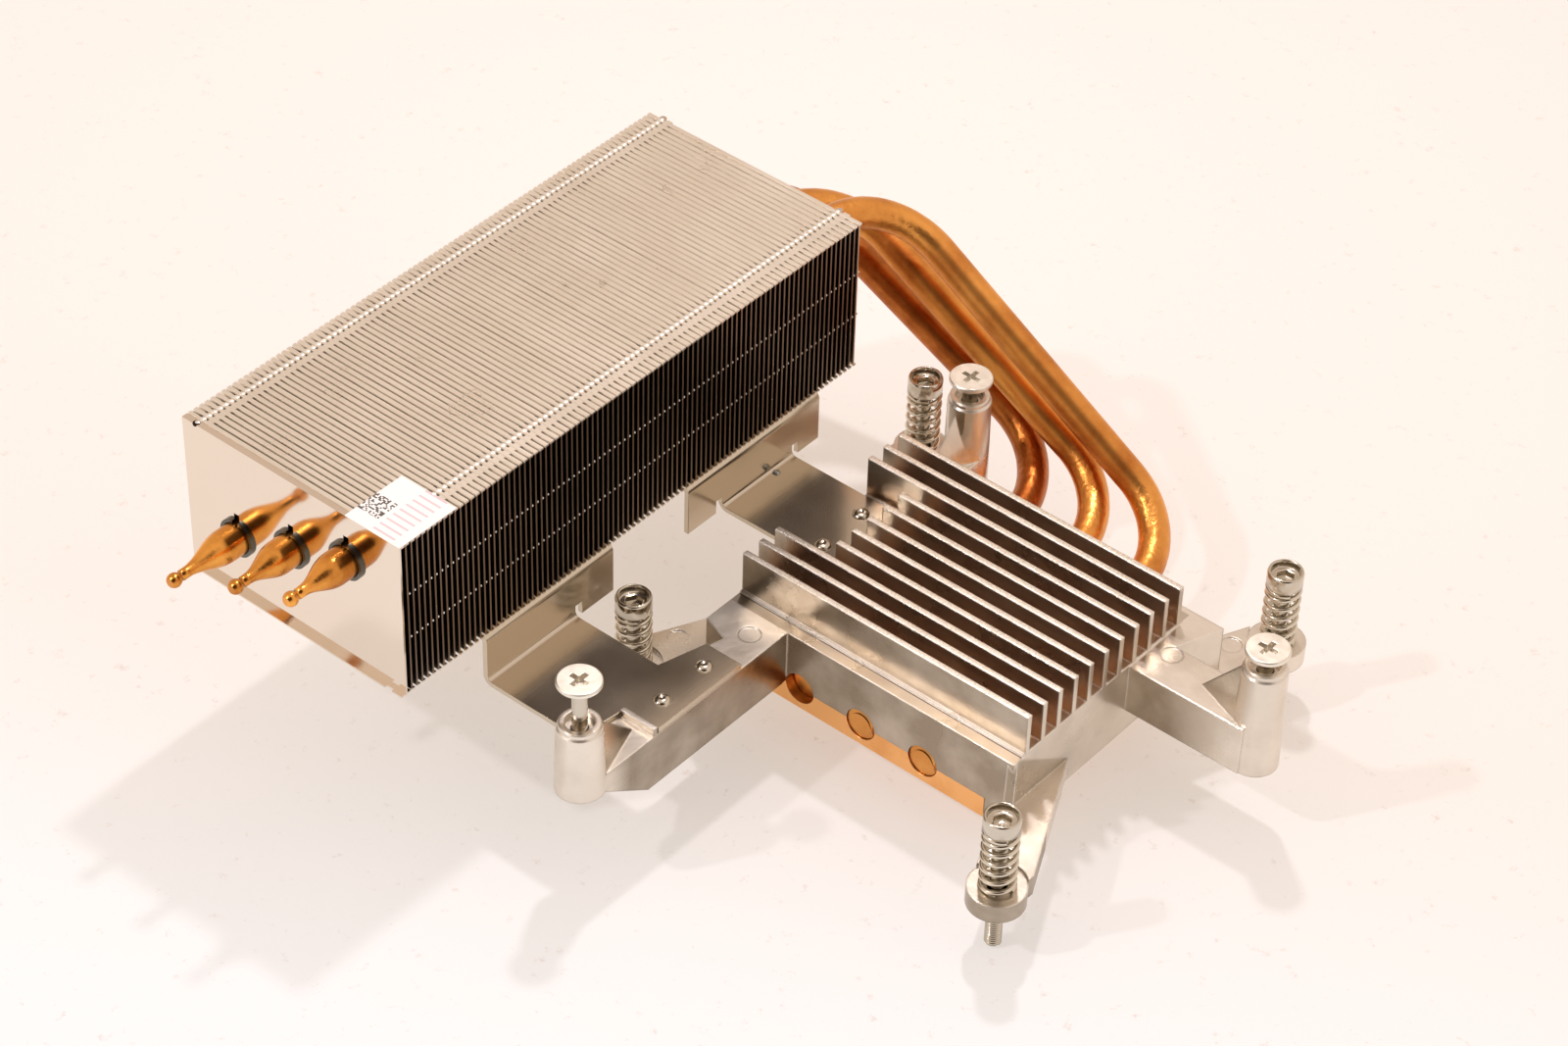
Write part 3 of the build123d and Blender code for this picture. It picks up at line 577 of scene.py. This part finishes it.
def makeWeb(name, sides):
    # plain web of one fin with a hole for each pipe
    values = {"edge": 0.4, "bore": 3.12}
    left, right, bore = stack["left"], stack["right"], values["bore"]
    low, high = stack["bottom"] + values["edge"], stack["top"] - values["edge"]
    work = bmesh.new()
    loops = [[(left, low), (right, low), (right, high), (left, high)]]
    for x, z in stack["pipes"]:
        angles = [2 * math.pi * k / sides for k in range(sides)]
        loops.append([(x + bore * math.cos(a), z + bore * math.sin(a)) for a in angles])
    edges = []
    for loop in loops:
        ring = [work.verts.new((x * mm, 0, z * mm)) for x, z in loop]
        edges += [work.edges.new((ring[k], ring[(k + 1) % len(ring)])) for k in range(len(ring))]
    filled = bmesh.ops.triangle_fill(work, use_beauty=True, use_dissolve=False, edges=edges,
                                     normal=(0, -1, 0))
    flat = [g for g in filled["geom"] if isinstance(g, bmesh.types.BMFace)]
    for face in flat:
        if face.normal.y > 0:
            face.normal_flip()
    back = bmesh.ops.extrude_face_region(work, geom=flat)
    moved = [g for g in back["geom"] if isinstance(g, bmesh.types.BMVert)]
    bmesh.ops.translate(work, verts=moved, vec=(0, stack["sheet"] * mm, 0))
    bmesh.ops.recalc_face_normals(work, faces=work.faces)
    mesh = bpy.data.meshes.new(name)
    work.to_mesh(mesh)
    work.free()
    piece = bpy.data.objects.new(name, mesh)
    bpy.context.scene.collection.objects.link(piece)
    return piece


def makeStack():
    # 91 folded fins: long flanges with thin gaps, two rows of formed tabs on top, ended by notches drawn as
    #                 small discs in the
    # web sheet with its painted shade, and two rows of small tabs on one side
    values = {"beads": ((-94.3, -52.9), 0.72), "teeth": ((-95.1, -53.95), 0.62), "sideRows": (38.5, 47.8),
              "sideInset": 0.25, "sideShift": 0.8, "rowEnds": [(-94.3, -87.3), (-94.3, 28.9), (-52.9, 28.9)],
              "holeSides": 8, "sheetWander": 0.025, "tabWander": 0.03,
              "bead": [(0.6, -0.34), (0.6, -0.1), (0.42, 0.04), (0.15, 0.08)],
              "tooth": [(0.3, -0.34), (0.3, -0.1), (0.15, -0.02)],
              "notch": [(0.7, -0.3), (0.7, 0.02), (0.4, 0.03)],
              "dot": [(0.1, -0.22), (0.2, 0.0), (0.1, 0.22)]}
    rows = [stack["front"] + k * stack["pitch"] for k in range(stack["count"])]
    fins = [(0.0, y, 0.0) for y in rows[1:]]
    beads, teeth = [[(x, y + shift, 0.0) for y in rows for x in columns]
                    for columns, shift in (values["beads"], values["teeth"])]
    sides = [(stack["right"] - values["sideInset"], y + values["sideShift"], z)
             for y in rows[1:] for z in values["sideRows"]]
    ends = [(x, y, 0.0) for x, y in values["rowEnds"]]
    bead, tooth, notch = [[(r, stack["top"] + z) for r, z in values[kind]]
                          for kind in ("bead", "tooth", "notch")]
    sheetWander, tabWander = values["sheetWander"], values["tabWander"]
    for name, shape, points, finish, wander in (
            ("fin_webs", makeWeb("webShape", values["holeSides"]), fins, "web", 0.0),
            ("fin_flanges_top", makeFlange("flangeTopShape", True), fins, "flange", sheetWander),
            ("fin_flanges_bottom", makeFlange("flangeBottomShape", False), fins, "flange", sheetWander),
            ("fin_beads", turnedShape("beadShape", bead, 10), beads, "bead", tabWander),
            ("fin_teeth", turnedShape("toothShape", tooth, 6), teeth, "bead", tabWander),
            ("fin_side_tabs", turnedShape("dotShape", values["dot"], 6), sides, "bead", 0.0),
            # notch discs: the web sheet's painted shade stands for the shade inside each notch
            ("fin_row_ends", turnedShape("rowEndShape", notch, 8), ends, "web", 0.0)):
        nodes = ["fin_stack"] if name == "fin_webs" else []
        piece = repeatShape(name, shape, points, materials[finish], wander)
        attach(piece, "heatsink", "fin_sheet", *nodes)


def makeEndPlate():
    # mirror plate whose drawn collars are short and tinned grey
    values = {"reach": 4.3, "keep": 0.38, "greyFrom": 0.1, "movedFrom": 1.0}
    plate = softCopy("front_fin", materials["mirror"], 0)
    plate.data.materials.append(materials["collar"])
    front = stack["front"] * mm

    def nearPipe(point):
        return any(math.hypot(point.x - x * mm, point.z - z * mm) < values["reach"] * mm
                   for x, z in stack["pipes"])

    for face in plate.data.polygons:
        if nearPipe(face.center) and face.center.y < front - values["greyFrom"] * mm:
            face.material_index = 1
    for vertex in plate.data.vertices:
        if nearPipe(vertex.co) and vertex.co.y < front - values["movedFrom"] * mm:
            vertex.co.y = front + (vertex.co.y - front) * values["keep"]
    attach(plate, "heatsink", "fin_sheet", "front_fin")


makeStack()
makeEndPlate()
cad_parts["paper_label"].data.materials.clear()
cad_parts["paper_label"].data.materials.append(materials["label"])
print("fin stack, end plate and label made")


# Heat pipes

def bentLine(corners, radii, step):
    # points along a line with rounded corners, each with a mark that is 1 inside a bend
    points, marks = [Vector(corners[0])], [0.0]
    for k, radius in enumerate(radii, start=1):
        corner = Vector(corners[k])
        before = (Vector(corners[k - 1]) - corner).normalized()
        after = (Vector(corners[k + 1]) - corner).normalized()
        half = before.angle(after) / 2
        start = corner + before * radius / math.tan(half)
        middle = corner + (before + after).normalized() * radius / math.sin(half)
        end = corner + after * radius / math.tan(half)
        sweep = (start - middle).angle(end - middle)
        axis = (start - middle).cross(end - middle).normalized()
        last, distance = points[-1], (start - points[-1]).length
        runs = max(2, round(distance / (3 * step)))
        for i in range(1, runs):
            points.append(last.lerp(start, i / runs))
            marks.append(0.0)
        parts = max(4, round(radius * sweep / step))
        for i in range(parts + 1):
            points.append(middle + Matrix.Rotation(sweep * i / parts, 3, axis) @ (start - middle))
            marks.append(math.sin(math.pi * i / parts) ** 0.5)
    return points, marks


def makePipes():
    # bent round pipes with a spun-down, sealed tip at the front of the stack
    values = {"radius": 3.0, "centre": -1.5, "pitch": 13.6, "z": 4.5, "front": -24.9, "rear": 26.0,
              "inset": [1.8, 0.0, 0.0], "lower": [26.5, 25.4, 25.3], "upper": [25.5, 25.2, 24.2],
              "bends": [17.5, 15.7, 15.3], "upperBend": 16.0, "step": 0.8, "sides": 28, "dent": 0.12,
              "tips": [14.6, 12.8, 12.8], "tipFrom": (0.6, 2.0), "tipMark": 0.3, "tipSmooth": 3.0,
              "tipLimit": 1.0, "body": 3.4, "neck": 1.0, "neckLength": 2.6, "neckEnds": (1.6, 1.0),
              "ball": 1.35, "ballTurn": 140, "ballStep": 17, "seal": 0.08,
              "disc": [(0.4, 0.3), (0.06, 0.75), (0.03, 2.2)], "discRim": 0.3, "discInner": 2.6,
              "discDepth": 0.28, "discLevel": 8}
    radius = values["radius"]
    for i, name in enumerate(("left", "middle", "right")):
        x, z = stack["pipes"][i]
        foot = values["centre"] + (i - 1) * values["pitch"]
        corners = [(foot, values["front"] + values["inset"][i], values["z"]),
                   (foot, values["rear"] + values["lower"][i], values["z"]),
                   (x, values["rear"] + values["upper"][i], z), (x, stack["front"] - 0.5, z)]
        points, marks = bentLine(corners, [values["bends"][i], values["upperBend"]], values["step"])
        start, last, front = points[0], points[-1], Vector(corners[3])
        points += [last.lerp(front, share) for share in (0.25, 0.5, 0.75, 1.0)]
        points[1:1] = [start + Vector((0, values["discRim"], 0))]
        girths = [radius - values["discRim"]] + [radius] * (len(points) - 1)
        points[0:0] = [start + Vector((0, depth, 0)) for depth, girth in values["disc"]]
        girths[0:0] = [girth for depth, girth in values["disc"]]
        marks = [0.0] * 4 + marks + [0.0] * 4
        reach, cone = values["tips"][i], values["tips"][i] - values["neckLength"]
        profile = [(s, radius) for s in (*values["tipFrom"], values["body"])]
        for k in range(1, 11):
            t = k / 10
            ease = t * t * (3 - 2 * t)
            profile.append((values["body"] + t * (cone - values["body"]),
                            radius + ease * (values["neck"] - radius)))
        profile += [(reach - end, values["neck"]) for end in values["neckEnds"]]
        for k in range(9):
            a = math.radians(values["ballTurn"] - values["ballStep"] * k)
            profile.append((reach - values["ball"] * math.cos(a),
                            max(values["seal"], values["ball"] * math.sin(a))))
        for s, r in sorted(profile):
            points.append(Vector((x, stack["front"] - s, z)))
            marks.append(values["tipMark"] if values["body"] < s < reach - values["tipSmooth"] else 0.0)
            girths.append(r)
        finish = materials["brown" if name == "left" else "copper"]
        pipe = tubeAlong("heat_pipe_" + name + "_finish", points, girths, marks, values["sides"],
                         values["dent"], finish)
        for other in ("tip", "sawn", "brown"):
            pipe.data.materials.append(materials[other])
        limit = (stack["front"] + values["tipLimit"]) * mm
        for face in pipe.data.polygons:
            if face.center.y < limit:
                face.material_index = 1
            elif (face.center.z < values["discLevel"] * mm
                  and face.center.y < (start.y + values["discDepth"]) * mm):
                face.use_smooth = False
                outward = math.hypot(face.center.x - foot * mm, face.center.z - values["z"] * mm)
                face.material_index = 2 if outward < values["discInner"] * mm else 3
        attach(pipe, "heatsink", "copper", "heat_pipe_" + name)


makePipes()
print("heat pipes made")


# Screws, springs and rings

def makeSprungScrews():
    # cup-headed screws with a rolled thread, and springs with flat ends, drawn at one length on the heatsink
    # though the real ones shorten as the screw sinks
    values = {"corners": {"rear_left": (-40.0, 40.0), "rear_right": (40.0, 40.0),
                          "front_right": (40.0, -40.0), "front_left": (-40.0, -40.0)},
              "tip": -8.5, "chamfer": 0.35, "core": 1.24, "crest": 1.5, "pitch": 0.5, "threadTop": 0.25,
              "threadStart": 0.45, "threadEnd": 0.2, "springLow": 5.12, "springHigh": 18.18,
              "springRadius": 2.85, "wire": 0.45, "turns": 6.9, "closed": 0.6, "travel": 3.4,
              "shank": [(1.35, 0.3), (1.35, 0.8), (1.1, 0.8), (1.1, 1.5), (1.35, 1.5), (1.35, 18.3)],
              "head": [(2.5, 18.2), (3.0, 18.2), (3.25, 18.45), (3.25, 20.9), (3.14, 21.25), (2.92, 21.4),
                       (2.72, 21.36), (2.6, 21.15), (2.52, 20.15), (2.3, 20.0), (1.95, 20.05), (1.75, 19.9),
                       (1.7, 18.9), (1.6, 18.85)]}
    low, high, wire = values["springLow"], values["springHigh"], values["wire"]
    tip, core, top = values["tip"], values["core"], values["threadTop"]
    chamfer, crest = values["chamfer"], values["crest"] - core
    start, end = tip + values["threadStart"], top - values["threadEnd"]
    profile = [(core - chamfer, tip), (core, tip + chamfer), (core, top)] + values["shank"]
    for corner, middle in values["corners"].items():
        head = turnedShape("sprung_screw_" + corner + "_finish", values["head"], 36, middle, 11)
        head.data.materials.append(materials["plated"])
        attach(head, "screw_" + corner, "screw_steel", "sprung_screw_" + corner)
        shank = turnedShape("screw_core_" + corner, profile, 20, middle)
        shank.data.materials.append(materials["plated"])
        attach(shank, "screw_" + corner, "screw_steel")
        thread = coilRound("screw_thread_" + corner, middle, (end - start) / values["pitch"], 20, core, start,
                           end, 0.0, crest, 4, materials["plated"])
        attach(thread, "screw_" + corner, "screw_steel")
        spring = coilRound("screw_spring_" + corner + "_finish", middle, values["turns"], 28,
                           values["springRadius"], low + wire, high - wire,
                           values["closed"] / values["turns"], wire, 10, materials["spring"])
        attach(spring, "heatsink", "spring_steel", "screw_spring_" + corner)
        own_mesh(spring)
        ring = softCopy("retaining_ring_" + corner, materials["spring"], 0.08)
        attach(ring, "ring_" + corner, "screw_steel", "retaining_ring_" + corner)


def makeCaptiveScrews():
    # bright flat heads with a cross, and a rolled thread on the lower part; each post has its name, place,
    # the thread's top and length, and how far above the thread the bright head begins
    values = {"posts": [("front", -22.1, -73.4, 22.35, 8.5, 12.0), ("rear", -25.8, 34.4, 23.95, 18.6, 6.6),
                        ("right", 54.7, 12.0, 23.35, 17.2, 6.2)],
              "core": 1.5, "crest": 1.8, "pitch": 0.7, "cut": 0.6, "chamfer": 0.4, "threadStart": 0.5,
              "threadEnd": 0.35, "plain": 1.5}
    core, chamfer = values["core"], values["chamfer"]
    for name, x, y, top, length, headAbove in values["posts"]:
        cut = top - values["cut"]
        screw = softCopy("captive_screw_" + name, materials["bright"], 0.12, cutBelow=cut)
        screw.data.materials.append(materials["plated"])
        for face in screw.data.polygons:
            if face.center.z < (top + headAbove) * mm:
                face.material_index = 1
        attach(screw, "post_screw_" + name, "screw_steel", "captive_screw_" + name)
        tip = top - length
        profile = [(core - chamfer, tip), (core, tip + chamfer), (core, cut)]
        shank = turnedShape("post_screw_core_" + name, profile, 20, (x, y))
        shank.data.materials.append(materials["plated"])
        attach(shank, "post_screw_" + name, "screw_steel")
        turns = (length - values["plain"]) / values["pitch"]
        thread = coilRound("post_screw_thread_" + name, (x, y), turns, 20, core, tip + values["threadStart"],
                           cut - values["threadEnd"], 0.0, values["crest"] - core, 4, materials["plated"])
        attach(thread, "post_screw_" + name, "screw_steel")


makeSprungScrews()
makeCaptiveScrews()
print("screws, springs and rings made")


# Stage, light and camera

def makeStage():
    # pale paper with faint grain; part of its white is painted glow, seen by the camera and in reflections,
    # so that shadows stay light, and the glow is whiter towards the near side
    values = {"colour": "#fdfafa", "speck": "#cfae9c", "glowFar": "#fdeee0", "glowNear": "#ffffff",
              "glow": 0.52, "size": 6.0, "floor": -8.55, "grainSize": 1.2, "speckSize": 2.6,
              "speckRange": (0.62, 0.78), "speckShare": 0.4, "nearWay": (0.5, -0.86, 0.0), "nearReach": 0.09}
    half, z = values["size"] / 2, values["floor"] * mm
    mesh = bpy.data.meshes.new("floor")
    square = [(-half, -half, z), (half, -half, z), (half, half, z), (-half, half, z)]
    mesh.from_pydata(square, [], [(0, 1, 2, 3)])
    floor = bpy.data.objects.new("floor", mesh)
    bpy.context.scene.collection.objects.link(floor)
    material, tree, shader, spot = startMaterial("paperFloor", 0.0)
    specks = addNoise(tree, spot, values["speckSize"], 4.0, 0.7)
    mark = remap(tree, specks, *values["speckRange"], 0.0, values["speckShare"])
    grain = addNoise(tree, spot, values["grainSize"], 3.0)
    setInputs(tree, shader, {"Base Color": mixTones(tree, mark, values["colour"], values["speck"]),
                             "Roughness": 0.7, "Specular IOR Level": 0.2,
                             "Normal": addBump(tree, grain, 0.2, 0.1)})
    # painted light: the glow turns whiter towards the near side
    nearer = vectorMath(tree, "DOT_PRODUCT", spot, values["nearWay"]).outputs["Value"]
    white = remap(tree, nearer, 0.0, values["nearReach"])
    tint = mixTones(tree, white, values["glowFar"], values["glowNear"])
    glow = addNode(tree, "ShaderNodeEmission", {"Color": mixTones(tree, mark, tint, values["speck"]),
                                                "Strength": 1.0})
    path = addNode(tree, "ShaderNodeLightPath").outputs
    seen = doMath(tree, "MAXIMUM", path["Is Camera Ray"], path["Is Glossy Ray"])
    both = addNode(tree, "ShaderNodeMixShader", {0: productOf(tree, seen, values["glow"]),
                                                 1: shader.outputs[0], 2: glow.outputs[0]})
    tree.links.new(both.outputs[0], tree.nodes["Material Output"].inputs["Surface"])
    mesh.materials.append(material)


def addLamp(name, power, size, spot, aim, hexCode):
    light = bpy.data.lights.new(name, "AREA")
    light.energy = power
    light.size = size
    light.color = linearColour(hexCode)[:3]
    lamp = bpy.data.objects.new(name, light)
    lamp.location = spot
    lamp.rotation_euler = (Vector(aim) - Vector(spot)).to_track_quat("-Z", "Y").to_euler()
    bpy.context.scene.collection.objects.link(lamp)


def makeWorld():
    # white room, more beige towards the back left, which the top of the stack reflects, and dark behind the
    # camera, which draws dark lines on every round piece
    values = {"horizon": "#fbece0", "ceiling": "#fae9dd", "ceilingFrom": 0.6, "strength": 0.97,
              "dim": "#e3cebd", "dimWay": (-0.475, 0.589, 0.654), "dimReach": (0.45, 0.92),
              "shade": "#38241a", "shadeWay": (0.475, -0.589, 0.654), "shadeReach": (0.8, 0.93)}
    world = bpy.data.worlds.new("room")
    bpy.context.scene.world = world
    world.use_nodes = True
    tree = world.node_tree
    way = addNode(tree, "ShaderNodeTexCoord").outputs["Generated"]
    height = remap(tree, splitAxes(tree, way)["Z"], 0.0, values["ceilingFrom"])
    tone = mixTones(tree, height, values["horizon"], values["ceiling"])
    for name in ("dim", "shade"):
        facing = vectorMath(tree, "DOT_PRODUCT", way, values[name + "Way"]).outputs["Value"]
        share = remap(tree, facing, *values[name + "Reach"], interpolation_type="SMOOTHSTEP")
        tone = mixTones(tree, share, tone, values[name])
    setInputs(tree, tree.nodes["Background"], {"Color": tone, "Strength": values["strength"]})


def makeCamera():
    # fitted to the photograph: angles in degrees, focal length and width in pixels, the rest in mm
    values = {"azimuth": 38.898, "elevation": 40.863, "roll": 1.882, "focal": 4279.9, "width": 1600,
              "across": -30.97, "up": 19.46, "distance": 730.71, "lift": 7.9}
    az, el = math.radians(values["azimuth"]), math.radians(values["elevation"])
    back = Vector((math.sin(az) * math.cos(el), -math.cos(az) * math.cos(el), math.sin(el)))
    right = Vector((math.cos(az), math.sin(az), 0.0))
    up = back.cross(right)
    spot = right * values["across"] + up * values["up"] + back * values["distance"]
    spot += Vector((0, 0, values["lift"]))
    roll = math.radians(values["roll"])
    turnedRight = right * math.cos(roll) + up * math.sin(roll)
    turnedUp = up * math.cos(roll) - right * math.sin(roll)
    data = bpy.data.cameras.new("camera")
    data.sensor_width = 36
    data.lens = values["focal"] / values["width"] * data.sensor_width
    data.clip_start = 0.01
    camera = bpy.data.objects.new("camera", data)
    turned = Matrix((turnedRight, turnedUp, back)).transposed().to_4x4()
    camera.matrix_world = Matrix.Translation(spot * mm) @ turned
    bpy.context.scene.collection.objects.link(camera)
    bpy.context.scene.camera = camera


makeStage()
makeWorld()
addLamp("nearLamp", 0.9, 0.025, (-0.105, 0.13, 0.46), (-0.02, -0.01, 0.0), "#faf5fa")
addLamp("frontLamp", 6.8, 0.06, (-0.6, -1.0, 1.25), (-0.03, -0.01, 0.02), "#faf6fa")
makeCamera()
bpy.context.scene.view_settings.view_transform = "Standard"
print("stage, lamps and camera set")
